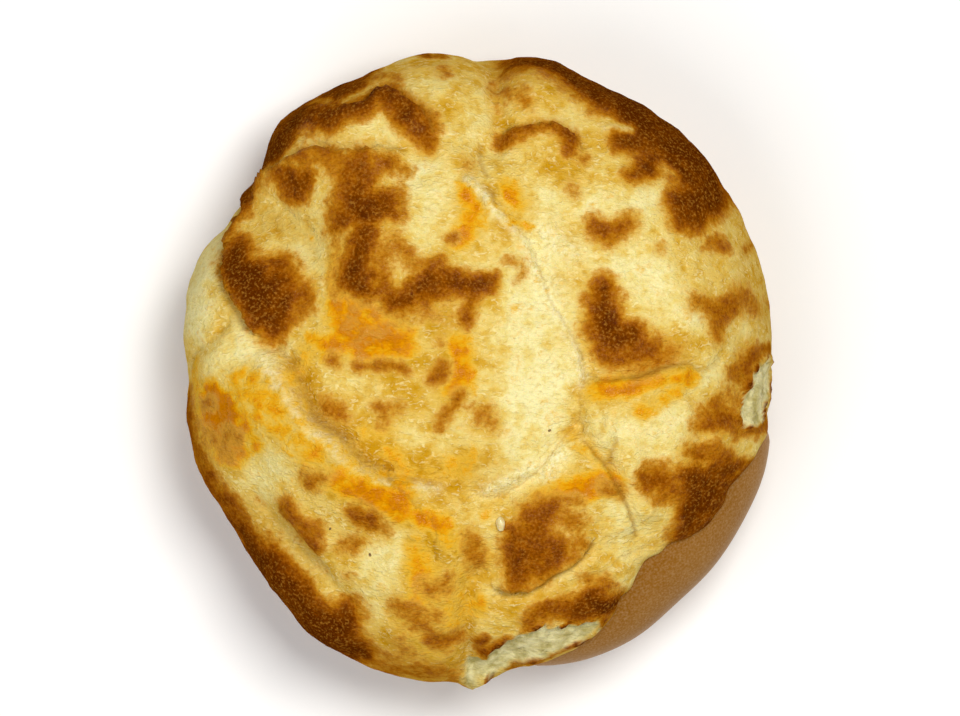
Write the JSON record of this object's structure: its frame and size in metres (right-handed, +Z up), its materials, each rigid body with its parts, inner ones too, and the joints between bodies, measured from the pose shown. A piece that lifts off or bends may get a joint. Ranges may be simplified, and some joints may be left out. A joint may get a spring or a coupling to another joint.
{
  "type": "cheese bread",
  "caption": "Soft round bread bun under one melted and toasted cheese blanket that drapes over it, folds into creases and leaves bare bun at its pulled-up hem.",
  "frame": {"origin": "middle of the object's outline, on the table plane that the bun's flat foot rests on", "axes": "+Z up through the top of the bun, +Y along its longest extent towards the back (the top of the picture), -Y its front, +X to the right as seen from the front"},
  "size_m": [0.1193, 0.1264, 0.0519],
  "materials": {
    "bread_bun": "smooth baked bread crust, satin",
    "cheese_blanket": "melted cheese, cream to orange with toasted brown patches, half gloss"
  },
  "bodies": {
    "root": {"bread_bun": "bread_bun", "cheese_blanket": "cheese_blanket"}
  },
  "joints": []
}
